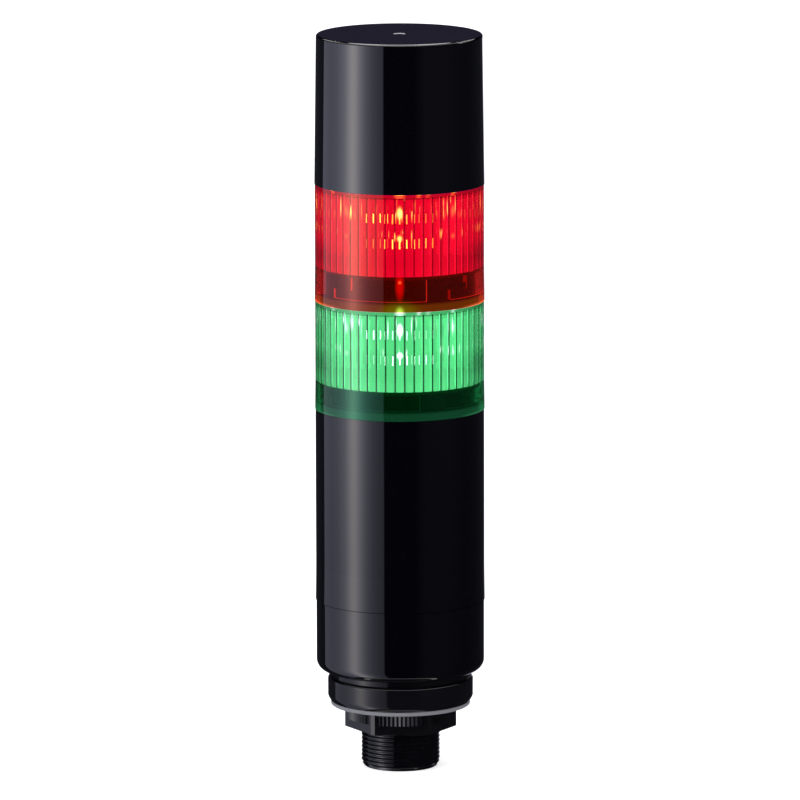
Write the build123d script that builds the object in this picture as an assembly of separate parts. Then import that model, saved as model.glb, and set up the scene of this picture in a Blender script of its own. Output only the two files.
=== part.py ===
"""Stack light with two lit tiers, for a panel hole.

Millimetres, +Z up. The origin is the centre of the gasket's underside, which is the panel's surface.
The front faces -Y. Angles on the twist locks are counted from the front, positive to the right.
"""

import os
from math import cos, pi, radians, sin

from build123d import *

# Stem and neck
stem_length = 22.4          # below the panel
stem_radius = 14.0          # M28 thread, major radius
stem_chamfer = 1.0
wire_bore_radius = 10.5
gasket_thickness = 1.5
gasket_radius = 24.85
gasket_hole_gap = 0.3       # round the stem
neck_height = 8.8
neck_radius = 25.9
neck_foot_chamfer = 1.0
neck_rim_fillet = 0.6
neck_floor = 3.0
neck_wall = 3.0
waist_height = 2.2
waist_inset = 1.5

# Lock nut
nut_height = 8.36
nut_across_flats = 35.2
nut_corner_bevel = 0.32
nut_ring_radius = 19.4
nut_ring_height = 4.75
nut_rib_count = 80
nut_rib_depth = 0.45
nut_bore_gap = 0.08

# Outer shells
shell_radius = 30.0
shell_wall = 2.0
skirt_wall = 1.6
skirt_flare = 0.15          # at the foot of every skirt
cup_height = 25.6
cup_inset = 0.1             # inside the shells above
cup_corner = 4.0
cup_floor = 2.5
cup_hole_margin = 2.0       # round the wires' bore
body_height = 68.9
body_collar = 12.5
parting_gap = 0.12          # between a skirt and the shoulder below it

# Tiers
green_height = 38.8
green_collar = 10.3
green_turn = -5.0           # its twist lock, against the others
red_height = 41.6
red_collar = 12.5
lens_rim = 1.1              # plain band at the top
lens_wall = 2.1             # at the ridges between the flutes
flute_count = 54
flute_depth = 0.9

# Cap
cap_height = 53.2
cap_draft = 0.55            # how much slimmer its top is
cap_edge_fillet = 0.8
cap_collar = 12.5
gate_mark_radius = 2.15
gate_mark_depth = 0.3
gate_nub_radius = 0.8
gate_nub_height = 0.2

# Twist lock: tracks inside each skirt, lugs outside each locking neck
lock_count = 4
pad_depth = 1.5
pad_lift = 3.5              # from the skirt's foot
shelf_height = 3.4          # what hooks under a lug
entry_start = 19.2
entry_width = 18.5
notch_width = 16.1
lock_gap = 0.3              # between curved faces of neck and skirt
lug_side_gap = 0.25         # degrees
lug_lift_gap = 0.1
lug_height = 1.9
locking_neck_wall = 2.0
locking_neck_foot = 2.0     # shoulder ring's thickness
disc_ledge_width = 1.2
disc_ledge_height = 1.0
disc_depth = 3.0            # contact disc's top, below the neck's rim
seal_height = 2.5

# Contacts and boards
board_thickness = 1.6
contact_pin_count = 6
contact_pin_radius = 0.9
disc_edge_gap = 0.1         # between a contact disc and its neck
contact_pin_turn = 30.0
contact_inset = 8.6         # of the pins' circle, from the locking neck's bore
contact_gap = 0.1
track_width = 2.6           # of each contact ring's copper
track_thickness = 0.3

# Carrier of a tier
carrier_floor = 1.2
carrier_fit = 0.2           # inside the flutes' tips
column_sides = 9            # one LED of each row on each side
column_across_flats = 17.6
column_wall = 1.5
sleeve_gap = 0.1
sleeve_thickness = 1.0
sleeve_rim = 2.0            # column left bare above and below the sleeve
led_width = 3.2
led_depth = 1.4
led_height = 3.6
led_rows = (11.0, 20.0)     # below the tier's top
coupler_spigot = 3.0
coupler_flange = 0.8

# Body's power board
power_board_height = 44.0
rail_gap = 0.15
rail_thickness = 1.5
rail_reach = 3.0
transformer_size = (16.0, 14.0, 17.0)
transformer_margin = 9.0    # from the tube's wall, at the board
relay_size = (10.0, 10.0, 18.0)
relay_margin = 6.0
capacitor_radius = 4.2
capacitor_height = 16.0
capacitor_margin = 5.8
capacitor_spacing = 9.0
driver_size = (8.0, 2.0, 6.0)
driver_spacing = 13.0
driver_count = 3
component_lift = 8.0        # lower row, above the board's foot
driver_lift = 32.0          # upper row

# Cap's sounder
sounder_radius = 15.0
sounder_height = 11.0
sounder_lip = 1.2
sounder_port_radius = 2.0
sounder_board_gap = 4.45    # to the cap's wall at its top
chassis_post_height = 14.0
chassis_post_radius = 3.0
chassis_post_inset = 4.0    # from the board's rim
chassis_post_count = 3

# Base cup's insides
base_screw_count = 3
base_screw_radius = 1.5
base_screw_gap = 0.2        # in the cup's floor
base_screw_slot = (3.2, 0.8)
base_screw_head_radius = 2.8
base_screw_head = 2.0
base_screw_length = 7.0
base_screw_boss = 3.2
terminal_count = 5
terminal_pitch = 5.0
terminal_depth = 8.0
terminal_height = 9.0
terminal_entry_radius = 1.5
terminal_entry_lift = 3.0
terminal_screw_radius = 1.4
terminal_screw_gap = 0.1
terminal_screw_slot = 0.5
terminal_screw_length = 2.0
terminal_screw_sink = 0.5   # below the block's top
terminal_wall_gap = 6.9     # from the block's back to the cup's wall

# Heights of the seams, upwards from the panel
gasket_top = gasket_thickness
neck_top = gasket_top + neck_height
cup_foot = neck_top + waist_height
body_foot = cup_foot + cup_height
green_foot = body_foot + body_height
red_foot = green_foot + green_height
cap_foot = red_foot + red_height
cap_top = cap_foot + cap_height

# Radii and heights that follow
skirt_foot_radius = shell_radius + skirt_flare
skirt_inner_radius = shell_radius - skirt_wall
shell_inner_radius = shell_radius - shell_wall
flute_tip_radius = shell_radius - lens_wall
cup_radius = shell_radius - cup_inset
cup_inner_radius = cup_radius - shell_wall
cup_hole_radius = wire_bore_radius + cup_hole_margin
cap_top_radius = shell_radius - cap_draft
pad_radius = skirt_inner_radius - pad_depth
locking_neck_radius = pad_radius - lock_gap
locking_neck_bore = locking_neck_radius - locking_neck_wall
lug_radius = skirt_inner_radius - lock_gap
lug_foot = pad_lift + shelf_height + lug_lift_gap
locking_neck_height = lug_foot + lug_height
disc_top = locking_neck_height - disc_depth
contact_circle_radius = locking_neck_bore - contact_inset
waist_radius = neck_radius - waist_inset
base_screw_circle = (wire_bore_radius + waist_radius) / 2
terminal_setback = cup_inner_radius - terminal_wall_gap - terminal_depth / 2
sounder_board_radius = cap_top_radius - shell_wall - sounder_board_gap
chassis_post_circle = sounder_board_radius - chassis_post_inset
weld = 0.4                  # how far a pad or lug runs into its wall


def turned(*outline):
    """A solid of revolution about the axis, from (radius, height) points."""
    face = make_face(Polyline([(radius, 0, height) for radius, height in outline], close=True))
    return revolve(face, Axis.Z)


def tube(outer, inner, foot, top):
    """A plain ring between two heights."""
    return turned((inner, foot), (outer, foot), (outer, top), (inner, top))


def disc(radius, foot, top):
    """A plain round plate between two heights."""
    return Pos(0, 0, foot) * Cylinder(radius, top - foot, align=(Align.CENTER, Align.CENTER, Align.MIN))


def sector(outer, inner, foot, top, start, end):
    """A piece of a ring, between two angles counted from the front."""
    points = [(inner, 0, foot), (outer, 0, foot), (outer, 0, top), (inner, 0, top)]
    face = make_face(Polyline(points, close=True))
    return Rot(0, 0, start - 90) * revolve(face, Axis.Z, revolution_arc=end - start)


def around(shape, count, turn=0.0):
    """Copies of a shape, evenly spaced about the axis."""
    return [Rot(0, 0, turn + 360 * index / count) * shape for index in range(count)]


def block(width, depth, height):
    """A box that stands on its underside."""
    return Box(width, depth, height, align=(Align.CENTER, Align.CENTER, Align.MIN))


def top_circle(shape):
    """The widest round edge at a shape's top."""
    circles = shape.edges().filter_by(GeomType.CIRCLE)
    highest = circles.group_by(Axis.Z)[-1]
    return highest.sort_by(SortBy.RADIUS)[-1]


def lock_tracks(foot, top, turn):
    """The pads inside a skirt. A lug enters between two pads, rises, and turns over the next pad's shelf."""
    pitch = 360 / lock_count
    shelf_start = entry_start + entry_width
    shelf_end = shelf_start + notch_width
    pad_end = entry_start + pitch
    outer = skirt_inner_radius + weld
    bottom = foot + pad_lift
    shelf = sector(outer, pad_radius, bottom, bottom + shelf_height, shelf_start, shelf_end + 0.5)
    pad = sector(outer, pad_radius, bottom, top, shelf_end, pad_end)
    return around(shelf + pad, lock_count, turn)


def locking_neck(foot, turn):
    """The ring with lugs that stands on a shoulder and holds the next piece up, with a ledge for its disc."""
    top = foot + locking_neck_height
    ring = tube(locking_neck_radius, locking_neck_bore, foot - locking_neck_foot, top)
    ledge_top = foot + disc_top - board_thickness
    ledge_inner = locking_neck_bore - disc_ledge_width
    ledge = tube(locking_neck_bore + weld, ledge_inner, ledge_top - disc_ledge_height, ledge_top)
    start = entry_start + entry_width + lug_side_gap
    end = start + notch_width - 2 * lug_side_gap
    lug = sector(lug_radius, locking_neck_radius - weld, foot + lug_foot, top, start, end)
    return ring + ledge + around(lug, lock_count, turn)


def contact_disc(foot):
    """The board in a locking neck, with a bare copper ring that the pins above slide on."""
    top = foot + disc_top
    board = disc(locking_neck_bore - disc_edge_gap, top - board_thickness, top - track_thickness)
    copper = tube(contact_circle_radius + track_width / 2, contact_circle_radius - track_width / 2,
                  top - track_thickness, top)
    return board + copper


def contact_pins(foot, floor_underside):
    """Spring pins under a floor, which end just above the contact disc of the piece below."""
    tip = foot + disc_top + contact_gap
    pin = Pos(contact_circle_radius, 0, 0) * disc(contact_pin_radius, tip, floor_underside)
    return Compound(around(pin, contact_pin_count, contact_pin_turn))


def seal_ring(foot):
    """The soft ring at the root of a locking neck."""
    return tube(lug_radius, locking_neck_radius, foot, foot + seal_height)


def fluted_core(foot, top):
    """The hollow of a lens: one concave arc for each flute, meeting in sharp ridges."""
    pitch = 2 * pi / flute_count
    valley_radius = flute_tip_radius + flute_depth
    arcs = []
    for index in range(flute_count):
        start = index * pitch
        ends = [(flute_tip_radius * cos(a), flute_tip_radius * sin(a)) for a in (start, start + pitch)]
        middle = (valley_radius * cos(start + pitch / 2), valley_radius * sin(start + pitch / 2))
        arcs.append(ThreePointArc(ends[0], middle, ends[1]))
    outline = make_face(Curve() + arcs)
    return Pos(0, 0, foot) * extrude(outline, amount=top - foot)


def make_lens(foot, height, collar, turn):
    """One clear moulding: collar with tracks, fluted wall, plain rim."""
    top = foot + height
    flute_foot = foot + collar
    shell = turned((0, foot + parting_gap), (skirt_foot_radius, foot + parting_gap),
                   (shell_radius, flute_foot), (shell_radius, top), (0, top))
    hollow = [
        disc(skirt_inner_radius, foot, flute_foot),
        fluted_core(flute_foot, top - lens_rim),
        disc(skirt_inner_radius, top - lens_rim, top),
    ]
    return shell - hollow + lock_tracks(foot, flute_foot - carrier_floor, turn)


def column_prism(across_flats, foot, top):
    """The many-sided bar that carries the LED sleeve, a flat to the front."""
    turn = -90 - 180 / column_sides
    outline = RegularPolygon(across_flats / 2, column_sides, major_radius=False, rotation=turn)
    return Pos(0, 0, foot) * extrude(outline, amount=top - foot)


def make_carrier(foot, height, collar):
    """The black floor over the collar and the hollow column up to the contact disc."""
    floor_top = foot + collar
    column_top = foot + height + disc_top - board_thickness
    floor = disc(flute_tip_radius - carrier_fit, floor_top - carrier_floor, floor_top)
    column = column_prism(column_across_flats, floor_top, column_top)
    core = column_prism(column_across_flats - 2 * column_wall, floor_top - carrier_floor, column_top)
    return floor + column - core


def make_led_sleeve(foot, height, collar):
    """The circuit board folded round the column."""
    inner = column_across_flats + 2 * sleeve_gap
    bottom = foot + collar + sleeve_rim
    top = foot + height - coupler_spigot - sleeve_rim
    outer = column_prism(inner + 2 * sleeve_thickness, bottom, top)
    return outer - column_prism(inner, bottom, top)


def make_leds(foot, height):
    """Two rows of LEDs, one on each face of the sleeve."""
    face = column_across_flats / 2 + sleeve_gap + sleeve_thickness
    leds = []
    for drop in led_rows:
        middle = foot + height - drop
        led = Pos(0, -face - led_depth / 2, middle - led_height / 2) * block(led_width, led_depth, led_height)
        leds += around(led, column_sides)
    return Compound(leds)


def make_coupler(top, turn):
    """The black ring in a lens's top, with the lugs for the next piece."""
    spigot = tube(flute_tip_radius - carrier_fit, locking_neck_bore, top - coupler_spigot, top)
    flange = tube(lug_radius, locking_neck_bore, top, top + coupler_flange)
    return locking_neck(top, turn) + spigot + flange


def make_tier(colour, foot, height, collar, turn, next_turn):
    """Every piece of one lit tier."""
    top = foot + height
    seat = tube(lug_radius, locking_neck_radius, top + coupler_flange, top + seal_height)
    return {
        f"{colour}_lens": make_lens(foot, height, collar, turn),
        f"{colour}_carrier": make_carrier(foot, height, collar),
        f"{colour}_led_sleeve": make_led_sleeve(foot, height, collar),
        f"{colour}_leds": make_leds(foot, height),
        f"{colour}_coupler": make_coupler(top, next_turn),
        f"{colour}_contact_disc": contact_disc(top),
        f"{colour}_contact_pins": contact_pins(foot, foot + collar - carrier_floor),
        f"{colour}_seal": seat,
    }


def make_cap():
    """The tall cover: tapered wall, rounded top edge, gate mark, tracks in its skirt."""
    shell = turned((0, cap_foot + parting_gap), (skirt_foot_radius, cap_foot + parting_gap),
                   (cap_top_radius, cap_top), (0, cap_top))
    shell = fillet(top_circle(shell), cap_edge_fillet)
    chassis_seat = cap_foot + cap_collar - carrier_floor
    inside_top = cap_top - shell_wall
    hollow = turned((0, cap_foot), (skirt_inner_radius, cap_foot), (skirt_inner_radius, chassis_seat),
                    (cap_top_radius - shell_wall, inside_top), (0, inside_top))
    mark = disc(gate_mark_radius, cap_top - gate_mark_depth, cap_top + 1)
    nub = disc(gate_nub_radius, cap_top - gate_mark_depth - weld, cap_top - gate_mark_depth + gate_nub_height)
    return shell - hollow - mark + nub + lock_tracks(cap_foot, chassis_seat, 0)


def make_chassis():
    """The plate on the cap's tracks, with posts that carry the sounder's board."""
    floor_top = cap_foot + cap_collar
    plate = disc(flute_tip_radius - carrier_fit, floor_top - carrier_floor, floor_top)
    post = disc(chassis_post_radius, floor_top - weld, floor_top + chassis_post_height)
    return plate + around(Pos(chassis_post_circle, 0, 0) * post, chassis_post_count)


def make_sounder(foot):
    """A round piezo sounder with a lip and a port in its top."""
    body = turned((0, foot), (sounder_radius, foot), (sounder_radius, foot + sounder_height),
                  (sounder_radius - sounder_lip, foot + sounder_height),
                  (sounder_radius - sounder_lip, foot + sounder_height - sounder_lip),
                  (0, foot + sounder_height - sounder_lip))
    port = disc(sounder_port_radius, foot + sounder_height - 3 * sounder_lip, foot + sounder_height)
    return body - port


def make_body_tube():
    """The tall tube: skirt with tracks, shoulder with the next lugs, rails for the power board."""
    seat = body_foot + body_collar
    shoulder_foot = green_foot - locking_neck_foot
    shell = turned((skirt_inner_radius, body_foot + parting_gap), (skirt_foot_radius, body_foot + parting_gap),
                   (shell_radius, seat), (shell_radius, green_foot), (locking_neck_bore, green_foot),
                   (locking_neck_bore, shoulder_foot), (shell_inner_radius, shoulder_foot - shell_wall),
                   (shell_inner_radius, seat), (skirt_inner_radius, seat - carrier_floor))
    offset = board_thickness / 2 + rail_gap + rail_thickness / 2
    bar = block(2 * rail_reach, rail_thickness, power_board_height)
    bar = Pos(shell_inner_radius - rail_reach / 2, offset, seat) * bar
    bars = [Rot(0, 0, half) * rail for half in (0, 180) for rail in (bar, mirror(bar, Plane.XZ))]
    inside = disc(shell_inner_radius + weld, seat, seat + power_board_height)
    rails = [rail & inside for rail in bars]
    tracks = lock_tracks(body_foot, seat - carrier_floor, 0)
    return shell + rails + locking_neck(green_foot, green_turn) + tracks


def make_plug_plate():
    """The plate on the body's tracks that carries its pins and stops the power board."""
    seat = body_foot + body_collar
    return disc(shell_inner_radius - carrier_fit, seat - carrier_floor, seat)


def make_power_board():
    """The board that stands in the body's rails."""
    width = 2 * (shell_inner_radius - 2 * rail_gap)
    return Pos(0, 0, body_foot + body_collar) * block(width, board_thickness, power_board_height)


def make_power_parts():
    """What stands on the power board: transformer, relay and drivers in front, two capacitors behind."""
    lower_row = body_foot + body_collar + component_lift
    upper_row = body_foot + body_collar + driver_lift
    face = board_thickness / 2
    width, depth, height = transformer_size
    transformer = block(width, depth, height)
    transformer = Pos(transformer_margin + width / 2 - shell_inner_radius, -face - depth / 2, lower_row) * transformer
    width, depth, height = relay_size
    relay = block(width, depth, height)
    relay = Pos(shell_inner_radius - relay_margin - width / 2, -face - depth / 2, lower_row) * relay
    can = disc(capacitor_radius, lower_row, lower_row + capacitor_height)
    outermost = shell_inner_radius - capacitor_margin - capacitor_radius
    cans = [Pos(outermost - step, face + capacitor_radius, 0) * can for step in (0, capacitor_spacing)]
    driver = Pos(0, -face - driver_size[1] / 2, upper_row) * block(*driver_size)
    middle = (driver_count - 1) / 2
    drivers = [Pos((index - middle) * driver_spacing, 0, 0) * driver for index in range(driver_count)]
    return Compound([transformer, relay] + cans + drivers)


def make_base_cup():
    """The cup over the neck: rounded lower corner, floor with the wires' hole, shoulder with lugs."""
    inside_foot = cup_foot + cup_floor
    shoulder_foot = body_foot - locking_neck_foot
    outside = disc(cup_radius, cup_foot, body_foot)
    outside = fillet(outside.edges().group_by(Axis.Z)[0].filter_by(GeomType.CIRCLE), cup_corner)
    hollow = turned((0, inside_foot), (cup_inner_radius - cup_corner / 2, inside_foot),
                    (cup_inner_radius, inside_foot + cup_corner / 2),
                    (cup_inner_radius, shoulder_foot - shell_wall), (locking_neck_bore, shoulder_foot),
                    (locking_neck_bore, body_foot), (0, body_foot))
    wire_hole = disc(cup_hole_radius, cup_foot, inside_foot)
    screw_hole = disc(base_screw_radius + base_screw_gap, cup_foot, inside_foot)
    screw_holes = around(Pos(0, -base_screw_circle, 0) * screw_hole, base_screw_count)
    return outside - hollow - wire_hole - screw_holes + locking_neck(body_foot, 0)


def make_mounting_stem():
    """The neck and its hollow stem, one moulding, cored from above with a boss for each screw."""
    foot = -stem_length
    outline = turned((wire_bore_radius, foot), (stem_radius - stem_chamfer, foot),
                     (stem_radius, foot + stem_chamfer), (stem_radius, gasket_top),
                     (neck_radius - neck_foot_chamfer, gasket_top),
                     (neck_radius, gasket_top + 2 * neck_foot_chamfer),
                     (neck_radius, neck_top - neck_rim_fillet), (neck_radius - neck_rim_fillet, neck_top),
                     (waist_radius, neck_top), (waist_radius, cup_foot), (wire_bore_radius, cup_foot))
    pocket_foot = gasket_top + neck_floor
    pocket = tube(waist_radius - neck_wall, wire_bore_radius + neck_wall, pocket_foot, cup_foot)
    boss = Pos(0, -base_screw_circle, 0) * disc(base_screw_boss, pocket_foot - weld, cup_foot)
    bosses = around(boss, base_screw_count)
    thread = Pos(0, -base_screw_circle, 0) * disc(base_screw_radius, cup_foot - base_screw_length, cup_foot + 1)
    return outline - pocket + bosses - around(thread, base_screw_count)


def make_base_screws():
    """The screws that hold the cup to the neck, heads on the cup's floor."""
    seat = cup_foot + cup_floor
    tip = cup_foot - base_screw_length
    shank = disc(base_screw_radius, tip, seat)
    head = disc(base_screw_head_radius, seat, seat + base_screw_head)
    slot = Pos(0, 0, seat + base_screw_head / 2) * block(*base_screw_slot, base_screw_head)
    cross = [slot, Rot(0, 0, 90) * slot]
    screw = Pos(0, -base_screw_circle, 0) * (shank + head - cross)
    return Compound(around(screw, base_screw_count))


def terminal_row(shape):
    """One copy of a shape for each conductor of the terminal block."""
    middle = (terminal_count - 1) / 2
    return [Pos((index - middle) * terminal_pitch, terminal_setback, 0) * shape for index in range(terminal_count)]


def make_terminal_block():
    """The block on the cup's floor, with a wire entry and a screw well for each conductor."""
    seat = cup_foot + cup_floor
    top = seat + terminal_height
    body = Pos(0, terminal_setback, seat) * block(terminal_count * terminal_pitch, terminal_depth, terminal_height)
    entry = Rot(90, 0, 0) * Cylinder(terminal_entry_radius, terminal_depth)
    entries = terminal_row(Pos(0, -terminal_depth / 2, seat + terminal_entry_lift) * entry)
    well_foot = top - terminal_screw_sink - terminal_screw_length
    wells = terminal_row(disc(terminal_screw_radius + terminal_screw_gap, well_foot, top))
    return body - entries - wells


def make_terminal_screws():
    """The slotted screws in the terminal block's wells."""
    top = cup_foot + cup_floor + terminal_height - terminal_screw_sink
    screw = disc(terminal_screw_radius, top - terminal_screw_length, top)
    slot = Pos(0, 0, top - terminal_screw_slot) * block(4 * terminal_screw_radius, terminal_screw_slot, 1)
    return Compound(terminal_row(screw - slot))


def make_lock_nut():
    """A hexagon with bevelled corners that runs into a ribbed round collar under the gasket."""
    hexagon = RegularPolygon(nut_across_flats / 2, 6, major_radius=False, rotation=0)
    corner = nut_across_flats / 2 / cos(radians(30))
    body = Pos(0, 0, -nut_height) * extrude(hexagon, amount=nut_height)
    body &= disc(corner - nut_corner_bevel, -nut_height, 0)
    collar = disc(nut_ring_radius, -nut_ring_height, 0)
    rib_width = pi * nut_ring_radius / nut_rib_count
    groove = Pos(0, -nut_ring_radius, -nut_ring_height) * block(rib_width, 2 * nut_rib_depth, nut_ring_height)
    collar -= around(groove, nut_rib_count)
    bore = disc(stem_radius + nut_bore_gap, -nut_height - 1, 1)
    return body + collar - bore


def make_gasket():
    """The flat ring between the neck and the panel."""
    return tube(gasket_radius, stem_radius + gasket_hole_gap, 0, gasket_thickness)


nodes = {
    "mounting_stem": make_mounting_stem(),
    "mounting_gasket": make_gasket(),
    "base_cup": make_base_cup(),
    "base_screws": make_base_screws(),
    "terminal_block": make_terminal_block(),
    "terminal_screws": make_terminal_screws(),
    "base_contact_disc": contact_disc(body_foot),
    "base_seal": seal_ring(body_foot),
    "lock_nut": make_lock_nut(),
    "body_tube": make_body_tube(),
    "plug_plate": make_plug_plate(),
    "body_contact_pins": contact_pins(body_foot, body_foot + body_collar - carrier_floor),
    "power_board": make_power_board(),
    "power_board_parts": make_power_parts(),
    "body_contact_disc": contact_disc(green_foot),
    "body_seal": seal_ring(green_foot),
    "top_cap": make_cap(),
    "sounder_chassis": make_chassis(),
    "cap_contact_pins": contact_pins(cap_foot, cap_foot + cap_collar - carrier_floor),
}
nodes |= make_tier("green", green_foot, green_height, green_collar, green_turn, 0)
nodes |= make_tier("red", red_foot, red_height, red_collar, 0, 0)

board_foot = cap_foot + cap_collar + chassis_post_height
nodes["sounder_board"] = disc(sounder_board_radius, board_foot, board_foot + board_thickness)
nodes["sounder"] = make_sounder(board_foot + board_thickness)

os.makedirs("parts", exist_ok=True)
for name, shape in nodes.items():
    export_step(shape, f"parts/{name}.step")
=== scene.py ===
"""Dresses the stack light for its picture: studio, glossy shells, lit lenses, threaded stem, nut and gasket.

Sizes in the code are millimetres and become metres when a piece is finished. The front faces -Y, and
azimuths are counted from the front, positive to the camera's right.
"""

from math import atan2, cos, degrees, hypot, pi, radians, sin, sqrt

import bmesh
import bpy
from mathutils import Matrix, Quaternion, Vector


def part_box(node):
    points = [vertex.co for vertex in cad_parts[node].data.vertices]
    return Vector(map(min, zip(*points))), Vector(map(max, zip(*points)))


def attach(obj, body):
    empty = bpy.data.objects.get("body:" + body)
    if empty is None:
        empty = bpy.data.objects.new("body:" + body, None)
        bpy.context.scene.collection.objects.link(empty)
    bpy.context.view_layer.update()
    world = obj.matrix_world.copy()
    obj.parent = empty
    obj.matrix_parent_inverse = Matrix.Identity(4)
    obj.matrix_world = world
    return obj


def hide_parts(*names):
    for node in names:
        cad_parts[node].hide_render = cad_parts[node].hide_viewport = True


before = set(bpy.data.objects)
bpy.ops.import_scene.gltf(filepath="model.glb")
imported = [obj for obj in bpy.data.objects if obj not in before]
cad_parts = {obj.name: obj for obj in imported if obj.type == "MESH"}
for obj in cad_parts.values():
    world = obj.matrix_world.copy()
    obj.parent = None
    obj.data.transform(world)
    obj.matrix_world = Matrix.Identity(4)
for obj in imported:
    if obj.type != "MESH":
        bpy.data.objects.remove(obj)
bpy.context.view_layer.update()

bl_info = {
    "name": "Stack Light Dressing",
    "version": (1, 0, 0),
    "blender": (4, 5, 0),
    "location": "View3D > Sidebar > Stack Light",
    "description": "Finishes a two tier stack light and sets up its studio",
    "category": "Object",
}

MM = 0.001
LENS_RADIUS = 28.0          # of the fluted face, to turn lengths round it into angles


def linear(code):
    """The linear colour, with alpha, of an sRGB hex value."""
    channels = [int(code[start:start + 2], 16) / 255 for start in (1, 3, 5)]
    curve = [c / 12.92 if c <= 0.04045 else ((c + 0.055) / 1.055) ** 2.4 for c in channels]
    return (*curve, 1.0)


def millimetres(node):
    """Lowest and highest corner of a CAD node, in millimetres."""
    low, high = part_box(node)
    return low / MM, high / MM


class StackLightSizes(bpy.types.PropertyGroup):
    """Sizes of the details that the solids leave out."""

    thread_pitch: bpy.props.FloatProperty(
        name="Thread pitch", description="From one thread crest to the next, M28 x 1.5",
        default=1.5 * MM, min=0.5 * MM, unit="LENGTH")
    thread_depth: bpy.props.FloatProperty(
        name="Thread depth", description="From crest to root", default=0.92 * MM, min=0.1 * MM, unit="LENGTH")
    plain_end: bpy.props.FloatProperty(
        name="Plain end", description="Length of the stem's end without thread",
        default=0.7 * MM, min=0.2 * MM, unit="LENGTH")
    nut_ribs: bpy.props.IntProperty(
        name="Nut ribs", description="Grip ribs round the nut's collar", default=80, min=12)
    nut_facet: bpy.props.FloatProperty(
        name="Nut corner facet", description="Width of the flat on each corner of the hexagon",
        default=1.6 * MM, min=0.1 * MM, unit="LENGTH")
    flutes: bpy.props.IntProperty(
        name="Lens flutes", description="Upright flutes round the inside of a lens", default=54, min=12)
    led_columns: bpy.props.IntProperty(
        name="LED columns", description="Upright rows of light sources round a tier", default=9, min=3)


class StackLightColours(bpy.types.PropertyGroup):
    """Colours of the finishes."""

    black: bpy.props.FloatVectorProperty(
        name="Black plastic", description="Housing colour", size=4, min=0, max=1,
        subtype="COLOR", default=linear("#030307"))
    rubber: bpy.props.FloatVectorProperty(
        name="Gasket rubber", description="Colour of the gasket", size=4, min=0, max=1,
        subtype="COLOR", default=linear("#7d7d84"))
    red_plastic: bpy.props.FloatVectorProperty(
        name="Red polycarbonate", description="Tint of the red lens", size=4, min=0, max=1,
        subtype="COLOR", default=linear("#f22030"))
    green_plastic: bpy.props.FloatVectorProperty(
        name="Green polycarbonate", description="Tint of the green lens", size=4, min=0, max=1,
        subtype="COLOR", default=linear("#3ff38a"))
    red_light: bpy.props.FloatVectorProperty(
        name="Red light", description="Glow of the lit red flutes", size=4, min=0, max=1,
        subtype="COLOR", default=linear("#fa1068"))
    green_light: bpy.props.FloatVectorProperty(
        name="Green light", description="Glow of the lit green flutes", size=4, min=0, max=1,
        subtype="COLOR", default=linear("#c6fbca"))


# Pieces


def finish_mesh(mesh_data, name, crease=30.0, scale=MM):
    """A finished object from a bmesh in millimetres: doubles merged, normals outwards, sharp edges by angle."""
    bmesh.ops.remove_doubles(mesh_data, verts=mesh_data.verts, dist=1e-4 * MM / scale)
    bmesh.ops.recalc_face_normals(mesh_data, faces=mesh_data.faces)
    bmesh.ops.scale(mesh_data, vec=Vector((scale, scale, scale)), verts=mesh_data.verts)
    for face in mesh_data.faces:
        face.smooth = True
    for edge in mesh_data.edges:
        edge.smooth = edge.is_manifold and edge.calc_face_angle() < radians(crease)
    mesh = bpy.data.meshes.new(name)
    mesh_data.to_mesh(mesh)
    mesh_data.free()
    obj = bpy.data.objects.new(name, mesh)
    bpy.context.scene.collection.objects.link(obj)
    return obj


def spin_outline(mesh_data, outline, closed=True, steps=128):
    """Turns an outline of (radius, height) points about the upright axis."""
    points = [mesh_data.verts.new((radius, 0, height)) for radius, height in outline]
    pairs = list(zip(points, points[1:] + points[:1])) if closed else list(zip(points, points[1:]))
    edges = [mesh_data.edges.new(pair) for pair in pairs]
    bmesh.ops.spin(mesh_data, geom=points + edges, cent=(0, 0, 0), axis=(0, 0, 1), dvec=(0, 0, 0),
                   angle=2 * pi, steps=steps, use_merge=True, use_duplicate=False)


def dress(obj, body, slot_name, *materials):
    """Gives a new piece its body and its materials; slot_name is not used."""
    for material in materials:
        obj.data.materials.append(material)
    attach(obj, body)


def paint(node, material):
    """Gives a CAD node a better material, with its mesh as it is."""
    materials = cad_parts[node].data.materials
    materials.clear()
    materials.append(material)


# Materials


def add_node(tree, kind, settings=None, *inputs, **named):
    """Adds a node. Inputs are numbers, colours, sockets, or nodes, which stand for their first output."""
    node = tree.nodes.new(kind)
    for key, value in (settings or {}).items():
        setattr(node, key, value)
    filled = list(enumerate(inputs)) + [(key.replace("_", " "), value) for key, value in named.items()]
    for key, value in filled:
        if isinstance(value, bpy.types.Node):
            value = value.outputs[0]
        if isinstance(value, bpy.types.NodeSocket):
            tree.links.new(value, node.inputs[key])
        else:
            node.inputs[key].default_value = value
    return node


def new_material(name):
    """An empty material and its node tree."""
    material = bpy.data.materials.new(name)
    material.use_nodes = True
    material.node_tree.nodes.clear()
    return material, material.node_tree


def room_seen(tree):
    """Socket that is 1 for rays from the camera and for those off mirrors and through glass, else 0."""
    path = add_node(tree, "ShaderNodeLightPath").outputs
    direct = add_node(tree, "ShaderNodeMath", None, path["Is Camera Ray"], path["Is Glossy Ray"])
    return add_node(tree, "ShaderNodeMath", None, direct, path["Is Transmission Ray"]).outputs[0]


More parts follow.
